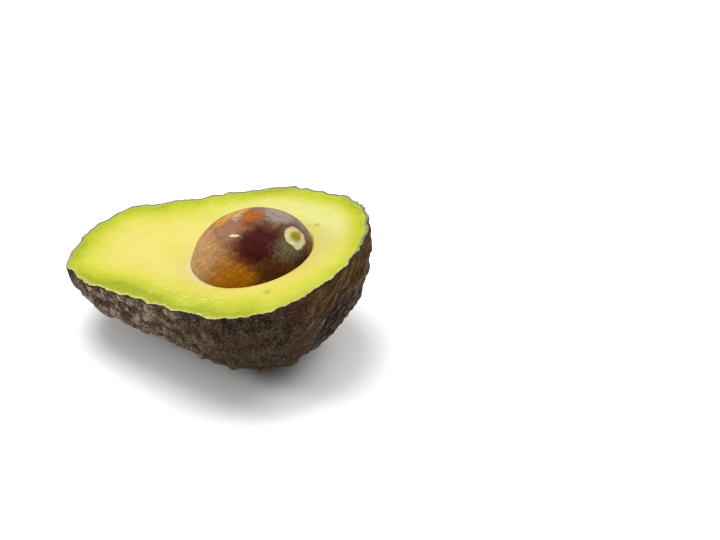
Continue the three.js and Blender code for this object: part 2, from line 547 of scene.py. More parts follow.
def plain_hide(marks):
    """Black grooves and tan tops, partly painted shade and light, brown sides, and drifts of plum and olive.
    """
    # Painted shade and light over the skin's own tone: the ramp darkens the grooves and lightens the tops by
    # pebble height.
    tone = times(marks.height, fade(marks.along, *PEBBLES_SHOW))
    tone = calculate("MULTIPLY_ADD", marks.grains, GRAINS_IN_TONE, tone)
    tone = shaken(tone, marks.grit, GRIT_IN_TONE)
    tone = shaken(tone, marks.pores, PORES_IN_TONE)
    tone = calculate("ADD", tone, fade(marks.along, *PALER_ALONG))
    hide = ramp(tone, HIDE_STOPS)
    drifting = noise(marks.place, PLUM_REGION, detail=4)
    reddish = times(fade(drifting, 0.46, 0.62, 0, 0.75), fade(marks.along, *PLUM_ALONG))
    hide = mix(reddish, hide, PLUM)
    drifting = noise(millimetres((1.4, 1, 1)), OLIVE_REGION, detail=3)
    olive = times(fade(drifting, 0.42, 0.6, 0, 0.45), marks.grains)
    return mix(olive, hide, OLIVE)


# %% [markdown]
# ## Painted highlights on the pebbles, blossom end and cut edge
# Towards the neck the tops of the pebbles carry a painted highlight of dusty mauve grey, less so on the far
# side. The blossom end is rusty, with dark valleys that are partly painted shade, and it is painted nearly
# black low down, where shade falls. Thin fibres run over it to the point where the flower was, golden above
# and pale below, brightest on the crests of the folds, where the gold is partly a painted highlight. They are
# noise in a place whose first number turns round that point, so they all lead to it. At the cut the skin
# turns within its own thickness to the yellow-green of the flesh.

# %% Painted highlights on the pebbles, blossom end and cut edge
# Painted highlight: the mauve grey laid on the pebble tops.
MAUVE_HIGHLIGHT = (0.365, 0.275, 0.228)
BLOSSOM_DARK = (0.022, 0.010, 0.003)
RUST = (0.175, 0.086, 0.018)
GOLDEN_FIBRE = (0.340, 0.200, 0.040)
PALE_FIBRE = (0.560, 0.490, 0.395)
EDGE_CREAM = (0.430, 0.430, 0.130)
EDGE_OLIVE = (0.235, 0.245, 0.120)
GRIT_IN_HIGHLIGHT, PORES_IN_HIGHLIGHT, GRIT_IN_EDGE = 2.4, 1.2, 0.8
HIGHLIGHT_ALONG = (-30, 12, 1, 0)
HIGHLIGHT_ON_FAR_SIDE = 0.35
RUST_REGION = 12
FIBRE_PUSH = (2.5, 2.0)
FIBRE_RELIEF = 3


def highlighted_tops(marks, hide):
    """A painted mauve grey highlight on the highest places, from the neck to past the middle."""
    lit_height = shaken(marks.height, marks.grit, GRIT_IN_HIGHLIGHT)
    lit_height = shaken(lit_height, marks.pores, PORES_IN_HIGHLIGHT)
    side = fade(marks.near_side, 0, 1, HIGHLIGHT_ON_FAR_SIDE, 1)
    on_tops = times(fade(lit_height, 0.35, 0.9), fade(marks.along, *HIGHLIGHT_ALONG), side)
    return mix(on_tops, hide, MAUVE_HIGHLIGHT)


def blossom_end(marks, hide):
    """Rust with dark valleys, partly painted shade, and a painted black underside, under thin fibres with
    partly painted golden crests, and the relief of the fibres.
    """
    blossom = stored("blossom")
    low = stored("low")
    wavy = pushed_about(stored("meridian", "Vector"), *FIBRE_PUSH)
    fibres = noise(wavy, 1, detail=4, roughness=0.65)
    rusty = noise(marks.place, RUST_REGION, detail=2)
    # Partly painted highlight: the fibres are brightest on the crests of the folds.
    bright = times(fade(fibres, 0.55, 0.63, 0, 0.8), fade(marks.height, 0.1, 0.6, 0.4, 1))
    for amount, colour in (
        (fade(rusty, 0.4, 0.6, 0.6, 0.9), RUST),
        # Painted shade: the blossom end turns nearly black low down.
        (times(low, 0.9), SHADE_AND_GROOVE_BLACK),
        (fade(fibres, 0.36, 0.5, 0.8, 0), BLOSSOM_DARK),
        # Partly painted shade: darker in the valleys between the folds.
        (fade(marks.height, 0.2, 0.55, 0.6, 0), BLOSSOM_DARK),
        (bright, mix(low, GOLDEN_FIBRE, PALE_FIBRE)),
    ):
        hide = mix(times(blossom, amount), hide, colour)
    return hide, times(blossom, fibres, FIBRE_RELIEF)


def cut_edge(marks, hide):
    """The thin cut through the skin, cream on the near side and dull olive on the far side."""
    edge = shaken(stored("edge"), marks.grit, GRIT_IN_EDGE)
    edge_colour = mix(marks.near_side, EDGE_OLIVE, EDGE_CREAM)
    return mix(fade(edge, 0.1, 0.4), hide, edge_colour)


# %% [markdown]
# ## The finish of the skin
# The parts are laid over one another like coats of paint: hide, painted highlights on the tops, blossom end,
# cut edge. The skin is dry and hardly shines, so the shader's mirror part is turned far down. Left as it
# comes, it would lay a grey veil over the dark brown. A bump of half a millimetre brings out the grains and
# the fibres.

# %% The finish of the skin
SKIN_SHINE = 0.10
SKIN_ROUGHNESS = (0.50, 0.72)
SKIN_BUMP = 0.5
GRIT_RELIEF = 0.6


def skin_finish():
    """The leathery skin, from the neck to the blossom end and over the cut edge."""
    finish, shader = new_finish("pebbled_skin")
    marks = skin_marks()
    hide = highlighted_tops(marks, plain_hide(marks))
    hide, fibre_relief = blossom_end(marks, hide)
    hide = cut_edge(marks, hide)
    roughness = fade(marks.grit, 0.3, 0.7, *SKIN_ROUGHNESS)
    relief = calculate("MULTIPLY_ADD", marks.grit, GRIT_RELIEF, marks.grains)
    relief = calculate("ADD", relief, fibre_relief)
    return complete(finish, shader, hide, roughness, SKIN_SHINE, relief, SKIN_BUMP)


pebbled_skin = skin_finish()

# %% [markdown]
# ## The relief of the skin
# The outside of the skin carries broad pebbles where the solid model has them, smaller ones on top, and
# folds that run together at a pole behind the blossom end. All are moved into the mesh, because they show
# in the outline against the floor and in the wavy edge of the cut, where a bump in the material would
# change nothing. Two places stay calm: the spot that lies on the floor, as in the solid model, and the
# scar where the stem broke off, a shallow dimple with a raised rim.

# %% The plain skin and what is calm on it
COLUMNS = 620
SKIN_ROWS = 112
SCAR = {"radius": 4, "depth": 0.9, "flat": 0.2, "rim": 0.9, "rim_place": 1.15, "rim_width": 0.35, "calm": 1.8}
SCAR_MIDDLE = np.array((-48.7, -6.3, -4.6))
CALM_INNER, CALM_OUTER = 9.0, 14.0

around = np.linspace(0, 2 * math.pi, COLUMNS, endpoint=False)[None, :]
down = np.linspace(0, math.pi / 2, SKIN_ROWS + 1)[:-1, None]
plain = back_surface(around, down)
outwards = grid_normals(plain)

from_scar = np.linalg.norm(plain - SCAR_MIDDLE, axis=-1) / SCAR["radius"]
scar = -SCAR["depth"] * (1 - smooth(from_scar, SCAR["flat"], 1))
scar += SCAR["rim"] * hump(from_scar, SCAR["rim_place"], SCAR["rim_width"])
rest_spot = unlay(np.zeros(3))
calm = smooth(np.linalg.norm(plain - rest_spot, axis=-1), CALM_INNER, CALM_OUTER)
calm *= smooth(from_scar, 1, SCAR["calm"])
print("pebbles grow on", (100 * calm.mean()).round(), "% of the skin")

# %% [markdown]
# ## Pebbles and folds
# Folds that run to a pole are cosine waves over the angle round it. Soft noise bends them and lets them come
# and go, because unbroken waves would look like a lemon squeezer. Each relief rises above the plain surface
# about as much as it sinks below it, so the fruit keeps its size.

# %% Pebbles and folds
PEBBLE = {"spacing": 5.2, "stretch": 1.35, "height": 1.6, "sink": 0.8, "lost": 0.45}
SMALL_PEBBLE = {"spacing": 3.4, "stretch": 0.75, "height": 0.9, "sink": 0.5, "lost": 0.6}
FOLD = {"apart": math.radians(7.5), "wander": 0.9, "wander_size": 6.0, "break_size": 3.5,
        "height": 0.7, "sink": 0.35, "sharpness": 2}
BLOSSOM_FROM, BLOSSOM_TO = 35.0, 45.0
BLOSSOM_SLOPE = 0.3
LOW_FROM, LOW_TO = 7, 15
BLOSSOM_POLE = np.array((50, 12, 10))
FRUIT_MIDDLE = np.array((0, 0, -8))
DEEPEST_GROOVE = -1.1

blossom = smooth(plain[..., 0] - BLOSSOM_SLOPE * plain[..., 2], BLOSSOM_FROM, BLOSSOM_TO)
low = smooth(-plain[..., 2], LOW_FROM, LOW_TO)
pole_way = Vector(BLOSSOM_POLE - FRUIT_MIDDLE).normalized()
to_pole_frame = np.array(pole_way.rotation_difference((1, 0, 0)).to_matrix())
from_pole = (plain - FRUIT_MIDDLE) @ to_pole_frame.T
round_turn = np.arctan2(from_pole[..., 2], from_pole[..., 1])

broad = heaps(plain, PEBBLE["spacing"], PEBBLE["stretch"])
small = heaps(plain, SMALL_PEBBLE["spacing"], SMALL_PEBBLE["stretch"], top=0.0, foot=0.8, blend=8, seed=7)
line = round_turn / FOLD["apart"] + FOLD["wander"] * soft_noise(plain / FOLD["wander_size"], seed=5)
coming_and_going = smooth(soft_noise(plain / FOLD["break_size"], seed=6), -0.6, 0.3)
ridge = (0.5 + 0.5 * np.cos(2 * math.pi * line)) ** FOLD["sharpness"] * coming_and_going

lift = calm * (PEBBLE["height"] * broad * (1 - PEBBLE["lost"] * blossom) - PEBBLE["sink"])
lift += calm * SMALL_PEBBLE["height"] * (small - SMALL_PEBBLE["sink"]) * (1 - SMALL_PEBBLE["lost"] * blossom)
lift += calm * FOLD["height"] * (ridge - FOLD["sink"]) * blossom
lift = np.maximum(lift, DEEPEST_GROOVE) + scar
outside = plain + outwards * lift[..., None]
print("the skin's relief spans", np.ptp(lift).round(2), "mm")

# %% [markdown]
# ## The cut edge and the inside of the skin
# The skin is a shell hardly a millimetre thick, and the knife leaves its edge rounded, not sharp. A few
# steps across the edge draw that round. Each says how far it has gone from the outside to the inside, and
# how far it drops below the cut. The edge follows most of the waves of the pebbles. The inside is plain,
# because it never shows, and needs only a few rings.

# %% The cut edge and the inside of the skin
SKIN_THICKNESS = 1.0
INNER_DEPTH = 1.5
EDGE_FOLLOWS = 0.8
EDGE_STEPS = ((0.0, -0.28), (0.07, -0.12), (0.18, -0.03), (0.34, 0.0), (0.6, 0.0), (1.0, -0.02))
INNER_ROWS_BY_THE_EDGE = (1, 2, 4)
FIRST_PLAIN_ROW, PLAIN_ROWS = 7, 15

rim_outer = outside[0].copy()
rim_inner = plain[0] + outwards[0] * (EDGE_FOLLOWS * lift[0] - SKIN_THICKNESS)[:, None]
rim_outer[:, 2] = rim_inner[:, 2] = 0
edge = np.stack([
    rim_outer + (rim_inner - rim_outer) * inwards + np.array((0, 0, drop)) for inwards, drop in EDGE_STEPS
])
plain_rows = np.linspace(FIRST_PLAIN_ROW, SKIN_ROWS - 1, PLAIN_ROWS).astype(int)
inner_rows = np.concatenate([INNER_ROWS_BY_THE_EDGE, plain_rows])
fading = np.exp(-inner_rows)[:, None]
inside_depth = INNER_DEPTH + (SKIN_THICKNESS - EDGE_FOLLOWS * lift[0] - INNER_DEPTH) * fading
inside = plain[inner_rows] - outwards[inner_rows] * inside_depth[..., None]

skin_rings = lay(np.concatenate([outside[:0:-1], edge, inside]))
skin_rings[..., 2] = np.maximum(skin_rings[..., 2], 0)
print("the skin is drawn with", len(skin_rings), "rings of", COLUMNS, "points")

# %% [markdown]
# ## The skin
# The finish asks the mesh for numbers: how high a place lies on its pebble or fold, how far along the
# fruit it is, how much it belongs to the blossom end, and where it lies on the cut edge. The blossom end's
# colours are held back low down on the far side, where the fibres would end in loose pale dashes. Along
# the far side the colour of the edge reaches a little further out.

# %% The skin
BROAD_SHARE, FOLD_SHARE = 0.35, 0.7
NEAR_FROM, NEAR_TO = -2, 14
FAR_LOW = {"lost": 0.85, "from": 2, "to": 14}
FAR_EDGE = {"wider": 0.35, "from": -48, "to": -30}
FIBRE_APART = math.radians(1.3)
FIBRE_LENGTH = 6.0


def on_outside(values):
    """Stretches numbers known on the outside over the edge and the inside, where they are 0."""
    rest = np.zeros((len(edge) + len(inside), *values.shape[1:]))
    return np.concatenate([values[:0:-1], rest])


coloured_height = BROAD_SHARE * broad + (1 - BROAD_SHARE) * small
coloured_height += FOLD_SHARE * blossom * (ridge - coloured_height)
near_side = smooth(-plain[0, :, 1], NEAR_FROM, NEAR_TO)
far_side = 1 - smooth(-plain[..., 1], FAR_LOW["from"], FAR_LOW["to"])
meridian = [round_turn / FIBRE_APART, from_pole[..., 0] / FIBRE_LENGTH, np.zeros_like(round_turn)]

outside_amount = np.zeros((SKIN_ROWS - 1, COLUMNS))
step_amount = np.repeat([[inwards] for inwards, _ in EDGE_STEPS], COLUMNS, 1)
step_amount += FAR_EDGE["wider"] * (1 - near_side) * smooth(plain[0, :, 0], FAR_EDGE["from"], FAR_EDGE["to"])
inside_amount = np.ones((len(inside), COLUMNS))

skin_attributes = {
    "near_side": np.repeat(near_side[None, :], len(skin_rings), 0),
    "pebble": on_outside(coloured_height),
    "blossom": on_outside(blossom * (1 - FAR_LOW["lost"] * low * far_side)),
    "low": on_outside(low),
    "along": on_outside(plain[..., 0]),
    "meridian": on_outside(np.stack(meridian, -1)),
    "edge": np.concatenate([outside_amount, step_amount, inside_amount]),
}
closed_piece("avocado_skin", skin_rings, skin_attributes, pebbled_skin, "skin")

# %% [markdown]
# ## The colours of the flesh
# Ripe flesh is lime green just under the skin and turns butter yellow within a centimetre or two. A
# gradient along one axis could not follow the outline, so the mesh stores each point's distance to the
# skin, and a ramp turns that distance into colour. Clouds and fibres of noise bend the border between the
# colours. Over that lie a paler zone towards the back, warm butter round the seed, golden drifts away from
# the green, fine green grit, a pale line beside the skin, and scraps of membrane from the seed's coat.

# %% The colours of the flesh
LIME_EDGE = (0.225, 0.262, 0.003)
LIME = (0.320, 0.350, 0.008)
SPRING_YELLOW = (0.450, 0.436, 0.044)
GOLDEN_BUTTER = (0.490, 0.420, 0.072)
PALE_BUTTER = (0.500, 0.505, 0.220)
BUTTER = (0.530, 0.460, 0.118)
WARM_BUTTER = (0.530, 0.420, 0.095)
RIM_CREAM = (0.450, 0.440, 0.100)
PALE_MEMBRANE = (0.600, 0.560, 0.370)
DOT_OLIVE = (0.270, 0.270, 0.010)
FLESH_STOPS = ((0.0, LIME_EDGE), (0.10, LIME), (0.36, SPRING_YELLOW), (0.72, BUTTER), (1.0, BUTTER))
RAMP_REACH = 20.0
FIBRE_SIZE, FIBRE_STRETCH = 1.1, (9, 1, 1)
CLOUD_SIZE, GREEN_GRIT_SIZE = 14, 1.2
CLOUDS_IN_DEPTH, FIBRES_IN_DEPTH = 9, 0.9
DRIFT_SIZE, DRIFT_STRETCH = 5, (2.5, 1, 1)
WARM_BY_SEED = (0, 7, 0.7, 0)
GOLDEN_FROM_RIM = (4, 9)
RIM_LINE = (0.1, 0.9, 0.55, 0)
GRIT_IN_RIM = 1.6


def flesh_colour(place, fibres):
    """Lime by the skin, butter inside, and what varies between them."""
    clouds = noise(place, CLOUD_SIZE, detail=2)
    grit = noise(place, GREEN_GRIT_SIZE, detail=4, roughness=0.7)
    drifts = noise(millimetres(DRIFT_STRETCH), DRIFT_SIZE, detail=3)
    rim_distance = stored("rim_distance")
    depth = shaken(shaken(rim_distance, clouds, CLOUDS_IN_DEPTH), fibres, FIBRES_IN_DEPTH)
    depth = calculate("SUBTRACT", depth, stored("greener"))
    colour = ramp(calculate("DIVIDE", depth, RAMP_REACH, clamp=True), FLESH_STOPS)
    golden = times(fade(drifts, 0.42, 0.62, 0, 0.4), fade(depth, *GOLDEN_FROM_RIM))
    membrane = times(stored("membrane"), fade(clouds, 0.35, 0.6, 0.4, 1))
    for amount, paint in (
        (stored("pale"), PALE_BUTTER),
        (fade(stored("seed_distance"), *WARM_BY_SEED), WARM_BUTTER),
        (fade(fibres, 0.45, 0.75, 0, 0.2), BUTTER),
        (golden, GOLDEN_BUTTER),
        (fade(grit, 0.38, 0.6, 0.14, 0), LIME),
        (fade(shaken(rim_distance, grit, GRIT_IN_RIM), *RIM_LINE), RIM_CREAM),
        (membrane, PALE_MEMBRANE),
        (times(stored("dot"), 0.8), DOT_OLIVE),
    ):
        colour = mix(amount, colour, paint)
    return colour


# %% [markdown]
# ## The finish of the flesh
# The flesh is moist and light sinks into it, so it gets some subsurface scattering and an uneven gloss. In
# a few wet places the gloss breaks up into bright flecks, too small for the lamps to draw in few samples,
# so they are pale marks in the colour, along the way of the knife.

# %% The finish of the flesh
WET_GLINT = (0.640, 0.620, 0.330)
FLECK_SIZE, FLECK_STRETCH = 0.65, (4, 1, 1)
FLESH_SHINE = 0.30
FLESH_ROUGHNESS = (0.50, 0.24)
FLESH_BUMP = 0.08
FLECK_RELIEF = 0.5


def flesh_finish():
    """Moist flesh, with fibres and flecks along the fruit."""
    finish, shader = new_finish("ripe_flesh")
    fibres = noise(millimetres(FIBRE_STRETCH), FIBRE_SIZE, detail=4, roughness=0.6)
    flecks = noise(millimetres(FLECK_STRETCH), FLECK_SIZE, detail=4, roughness=0.65)
    glints = times(stored("wet"), fade(flecks, 0.54, 0.68, 0, 0.65))
    colour = mix(glints, flesh_colour(millimetres(), fibres), WET_GLINT)
    roughness = fade(flecks, 0.35, 0.7, *FLESH_ROUGHNESS)
    light_sinks_in(shader, 0.25, (1.0, 0.7, 0.2), 2.5)
    relief = calculate("ADD", fibres, times(flecks, FLECK_RELIEF))
    return complete(finish, shader, colour, roughness, FLESH_SHINE, relief, FLESH_BUMP)


ripe_flesh = flesh_finish()

# %% [markdown]
# ## The cut
# The cut is nearly flat, but not quite: the knife leaves shallow strokes, the flesh sinks a little beside
# the skin, and round the seed a thin lip curls up where the seed's coat clung to it. The rings of the cut
# run from the edge of the hollow to the skin along lines from the seed's middle, and they crowd together
# at both edges, where the form turns fastest.

# %% The cut
CUT_ROWS = 92
LIP_CLEARANCE = 0.03
KNIFE_STROKE = 0.10
BROAD_STROKE, FINE_STROKE = (26, 3.2, 1), (9, 1.4, 1)
UNTOUCHED = 3
LIP = {"place": 0.72, "width": 0.8, "height": 0.05, "more_at_neck": 0.12}
HOLLOW_EDGE = {"drop": 0.6, "width": 1.1, "crisp_at_neck": 0.9}
SUNK_LINE = {"place": 1.92, "width": 1.6, "depth": 0.22}
CUT_BELOW_RIM = 0.02

seed_in_cut = np.array((SEED_MIDDLE[0], SEED_MIDDLE[1], 0))
spokes = rim_inner - seed_in_cut
spoke_lengths = np.linalg.norm(spokes, axis=1)
spokes = spokes / spoke_lengths[:, None]
hollow_edge = seed_reach(seed_in_cut, spokes) + LIP_CLEARANCE

share = np.linspace(0, 1, CUT_ROWS)
share = (share + smooth(share, 0, 1)) / 2
reach = hollow_edge + (spoke_lengths - hollow_edge) * share[:, None]
cut = seed_in_cut + spokes * reach[..., None]
seed_distance = reach - hollow_edge
rim_distance = np.stack([
    np.linalg.norm(row[:, None, :2] - rim_inner[None, ::2, :2], axis=2).min(1) for row in cut
])

strokes = soft_noise(cut / BROAD_STROKE, seed=11) + 0.5 * soft_noise(cut / FINE_STROKE, seed=12)
inland = smooth(rim_distance, 0, UNTOUCHED) * smooth(seed_distance, 0, UNTOUCHED)
toward_neck = smooth(-spokes[:, 0], 0.1, 0.9)[None, :]
lip = hump(seed_distance, LIP["place"], LIP["width"]) * (LIP["height"] + LIP["more_at_neck"] * toward_neck)
rounding = -HOLLOW_EDGE["drop"] * (1 - smooth(seed_distance, 0, HOLLOW_EDGE["width"])) ** 2
rounding *= 1 - HOLLOW_EDGE["crisp_at_neck"] * toward_neck
sunk = -SUNK_LINE["depth"] * hump(rim_distance, SUNK_LINE["place"], SUNK_LINE["width"])
cut[..., 2] = KNIFE_STROKE * strokes * inland + lip + rounding + sunk - CUT_BELOW_RIM
print("the flesh is up to", rim_distance.max().round(1), "mm from the skin")

# %% [markdown]
# ## The flesh
# Under the cut the flesh follows the seed on one side and the skin on the other. Its finish asks for the
# distances to the skin and to the seed, and for regions: the real half is greener at the front, warmer at
# the right and paler at the back. Each region fades in along the fruit and across it.

# %% The flesh
HOLLOW_ROWS = 9
SKIN_GAP = 0.05
MEMBRANE_WIDTH = 1.2
FIELD_DOTS = ((32.1, 9.8, 0.9), (23.6, -24.6, 1.1))
WET_PLACES = ((-14, -21, 6), (-3, -25, 6), (8, -28, 5))
FRONT = {"u": (6, -30), "v": (-4, -24)}
RIGHT = {"u": (12, 34), "v": (8, -6)}
PALE_ZONE = {"u": (-12, 16), "v": (-16, 8)}
NEAR_RIM = (-10, -26)
GREENER_FRONT, GREENER_NEAR_RIM, LESS_GREEN_RIGHT = 3, 1.5, 2.8
PALENESS, PALE_FROM_RIM = 0.7, (3, 9)

hollow_down = np.linspace(0, 1, HOLLOW_ROWS + 1)[1:-1, None, None]
lip_ring = cut[0] - SEED_MIDDLE
lip_ring = lip_ring / np.linalg.norm(lip_ring, axis=1, keepdims=True)
towards = (1 - hollow_down) * lip_ring + hollow_down * np.array((0, 0, -1))
towards = towards / np.linalg.norm(towards, axis=-1, keepdims=True)
hollow = SEED_MIDDLE + towards * (seed_reach(SEED_MIDDLE, towards) + LIP_CLEARANCE)[..., None]
under = inside - SKIN_GAP * outwards[inner_rows]
flesh_rings = np.concatenate([hollow[::-1], cut, under])


def on_cut(values):
    """Stretches numbers known on the cut over the hollow and the underside, where they are 0."""
    return np.concatenate([np.zeros((len(hollow), COLUMNS)), values, np.zeros((len(under), COLUMNS))])


def region(u, v):
    """1 in one part of the cut and 0 elsewhere, fading in along the fruit and across it."""
    return smooth(cut[..., 0], *u) * smooth(cut[..., 1], *v)


def spots_on_cut(spots):
    """Soft round spots on the cut, from their places and sizes."""
    return sum(hump(cut[..., 0], u, size) * hump(cut[..., 1], v, size) for u, v, size in spots)


greener = GREENER_FRONT * region(**FRONT) + GREENER_NEAR_RIM * smooth(cut[..., 1], *NEAR_RIM)
greener -= LESS_GREEN_RIGHT * region(**RIGHT)
flesh_attributes = {
    "rim_distance": on_cut(rim_distance),
    "seed_distance": on_cut(seed_distance),
    "membrane": on_cut(np.exp(-seed_distance / MEMBRANE_WIDTH) * toward_neck),
    "wet": on_cut(np.minimum(spots_on_cut(WET_PLACES), 1)),
    "greener": on_cut(greener),
    "dot": on_cut(spots_on_cut(FIELD_DOTS)),
    "pale": on_cut(PALENESS * smooth(rim_distance, *PALE_FROM_RIM) * region(**PALE_ZONE)),
}
closed_piece("avocado_flesh", lay(flesh_rings), flesh_attributes, ripe_flesh, "flesh")

# %% [markdown]
# ## The patches of the seed's coat
# The seed's coat is a thin brown paper that has dried in patches: tan and pink towards the neck, orange where
# it is thin, and dark maroon in the middle. The pink is partly the coat's own colour and partly a painted
# sheen, and the grey lavender round the pale end is a painted reflection of the bright backdrop. Each patch
# is a soft spot at its own place on the seed, with a border frayed by noise, painted one over another. A
# picture wrapped round the seed would be pinched at its ends, and spots on a ball are not.

# %% The patches of the seed's coat
COAT_BROWN = (0.125, 0.055, 0.022)
PATCHES = (
    ((-0.75, -0.30, 0.60), 0.95, 0.60, (0.340, 0.185, 0.070)),
    # Pink at the neck's end: partly the coat's own colour and partly a painted sheen.
    ((-0.95, -0.28, 0.20), 0.50, 0.36, (0.390, 0.275, 0.160)),
    ((-0.20, -0.93, 0.30), 0.66, 0.44, (0.320, 0.120, 0.001)),
    ((0.08, -0.16, 0.97), 0.50, 0.36, (0.225, 0.115, 0.070)),
    ((0.28, -0.10, 0.95), 0.24, 0.19, (0.180, 0.048, 0.010)),
    ((0.40, -0.60, 0.70), 0.60, 0.36, (0.042, 0.001, 0.000)),
    ((0.45, -0.88, 0.16), 0.44, 0.30, (0.070, 0.022, 0.004)),
    ((0.84, -0.54, 0.02), 0.34, 0.24, (0.050, 0.018, 0.010)),
    # These two are grey lavender round the pale end: a painted reflection of the bright backdrop.
    ((0.72, 0.14, 0.68), 0.43, 0.30, (0.225, 0.180, 0.160)),
    ((0.94, 0.12, 0.20), 0.46, 0.28, (0.165, 0.125, 0.100)),
    ((0.78, -0.54, 0.34), 0.40, 0.30, (0.100, 0.078, 0.042)),
    ((-0.22, 0.22, 0.95), 0.20, 0.14, (0.380, 0.165, 0.004)),
    ((-0.04, 0.34, 0.94), 0.20, 0.14, (0.400, 0.185, 0.004)),
    ((0.18, 0.32, 0.93), 0.20, 0.14, (0.390, 0.175, 0.004)),
    ((0.36, 0.12, 0.92), 0.21, 0.15, (0.250, 0.075, 0.003)),
    ((0.10, 0.20, 0.97), 0.16, 0.12, (0.360, 0.250, 0.150)),
)


def patch_amount(where, middle, radius, fray):
    """1 inside a spot of the coat, 0 outside it, with a border as wide as fray."""
    apart = new_node("ShaderNodeVectorMath")
    apart.operation = "DISTANCE"
    plug(apart.inputs[0], where)
    apart.inputs[1].default_value = Vector(middle).normalized()
    return fade(apart.outputs["Value"], radius - fray, radius, 1, 0)


print("the coat has", len(PATCHES), "patches")

# %% [markdown]
# ## The finish of the seed
# Over the patches lie veins and hairs that run from the pale end over the coat, and a mottle. Each lightens
# the coat where its noise is high and darkens it where it is low. Crumbs of dried paper lie beside the pale
# end, which is cream with an ochre and a green mark and a frayed border, a painted highlight of bright cream
# on its near lower side, and a ring of painted shade round it. The sheen is faint and broad.

# %% The finish of the seed
STREAK_LIGHT = (1.700, 1.600, 1.500)
STREAK_DARK = (0.550, 0.400, 0.300)
FLAKE = (0.380, 0.310, 0.180)
CREAM = (0.600, 0.550, 0.290)
PAINTED_HIGHLIGHT_CREAM = (0.740, 0.700, 0.360)
MARK_OCHRE = (0.360, 0.200, 0.001)
MARK_GREEN = (0.240, 0.225, 0.008)
PALE_MARKS = (
    # A painted highlight: bright cream on the near, lower side of the pale face.
    ((0.86, -0.36, 0.33), 0.12, PAINTED_HIGHLIGHT_CREAM),
    ((0.88, -0.28, 0.38), 0.15, MARK_GREEN),
    ((0.92, -0.22, 0.33), 0.13, MARK_OCHRE),
)
MARK_FRAY = 0.6
FLAKY = ((0.74, -0.60, 0.34), 0.46, 0.34)
COAT_PUSH, MARK_PUSH = (0.14, 0.40), (0.05, 0.10)
MOTTLE_SIZE, CRUMB_SIZE, HAIR_SIZE = 1.3, 0.6, 0.55
PAINTED_SHADE_ROUND_FACE = (1.0, 1.35, 0.5, 0)
FACE_BORDER = (0.86, 1.08, 1, 0)
MOTTLE_IN_BORDER = 0.3
SEED_SHINE = 0.07
SEED_ROUGHNESS = (0.30, 0.50)
SEED_BUMP = 0.16
MOTTLE_RELIEF = 0.6


def marked(colour, marks, lighter, darker):
    """Lightens a colour where the marks are high and darkens it where they are low."""
    colour = mix(fade(marks, *lighter), colour, STREAK_LIGHT, "MULTIPLY")
    return mix(fade(marks, *darker), colour, STREAK_DARK, "MULTIPLY")


def face_cream(where, mottle):
    """The cream of the pale end, with its marks and a painted highlight."""
    cream = mix(fade(mottle, 0.4, 0.65, 0, 0.25), CREAM, MARK_OCHRE)
    nearby = pushed_about(where, *MARK_PUSH)
    for middle, radius, paint in PALE_MARKS:
        cream = mix(patch_amount(nearby, middle, radius, radius * MARK_FRAY), cream, paint)
    return cream


def seed_finish():
    """The papery coat in its patches, some of them partly painted sheen and reflection, and the pale end with
    a painted highlight and a ring of painted shade.
    """
    finish, shader = new_finish("seed_coat")
    where, streak = (stored(label, "Vector") for label in ("seed_direction", "streak"))
    place = millimetres()
    pushed = pushed_about(where, *COAT_PUSH)
    face = stored("face")
    streaks = noise(streak, 1, detail=4, roughness=0.6, distortion=0.4)
    mottle = noise(place, MOTTLE_SIZE, detail=5, roughness=0.7)
    hairs = noise(streak, HAIR_SIZE, detail=3, roughness=0.7)
    crumbs = noise(place, CRUMB_SIZE, detail=4, roughness=0.75)
    colour = COAT_BROWN
    for middle, radius, fray, paint in PATCHES:
        colour = mix(patch_amount(pushed, middle, radius, fray), colour, paint)
    colour = marked(colour, streaks, (0.50, 0.72, 0, 0.5), (0.30, 0.48, 0.35, 0))
    colour = marked(colour, mottle, (0.50, 0.68, 0, 0.5), (0.35, 0.60, 0.30, 0))
    colour = marked(colour, hairs, (0.54, 0.68, 0, 0.5), (0.34, 0.46, 0.35, 0))
    flaky = times(patch_amount(pushed, *FLAKY), fade(crumbs, 0.50, 0.70, 0, 0.55))
    colour = mix(flaky, colour, FLAKE)
    # Painted shade: a darker ring round the raised pale face.
    colour = mix(fade(face, *PAINTED_SHADE_ROUND_FACE), colour, STREAK_DARK, "MULTIPLY")
    frayed = shaken(face, mottle, MOTTLE_IN_BORDER)
    colour = mix(fade(frayed, *FACE_BORDER), colour, face_cream(where, mottle))
    colour = mix(stored("chip"), colour, CREAM)
    roughness = fade(mottle, 0.3, 0.75, *SEED_ROUGHNESS)
    light_sinks_in(shader, 0.08, (1.0, 0.45, 0.2), 1.5)
    relief = calculate("ADD", streaks, times(mottle, MOTTLE_RELIEF))
    relief = calculate("ADD", relief, hairs)
    return complete(finish, shader, colour, roughness, SEED_SHINE, relief, SEED_BUMP)


seed_coat = seed_finish()

# %% [markdown]
# ## The pale end of the seed
# The rings of the seed grow from its pale end, the round place where it hung on to the fruit. That puts the
# finest mesh where the form is finest: a cream disc that stands proud of the coat, with a dimple in its
# middle, a moat and small folds where the coat was stretched round it. All of these are measured from the
# disc's middle, in its own radius, and a little noise keeps them from being perfectly round.

# %% The pale end of the seed
FACE = {"rise": 0.4, "dimple": 0.5, "moat": 0.22, "folds": 23, "fold_depth": 0.035}
RISE_ENDS, DIMPLE_ENDS = (0.8, 1.1), (0.05, 0.6)
MOAT_BAND, FOLD_BAND = (0.95, 1.3, 1.3, 2.4), (1.0, 1.3, 1.5, 3.5)
WOBBLES = ((0.10, 6, 21), (0.05, 17, 26))


def seed_noise(*layers):
    """Layers of soft noise on the seed, each with its height, how often it repeats, and its seed."""
    return sum(height * soft_noise(seed_directions * often, seed=seed) for height, often, seed in layers)


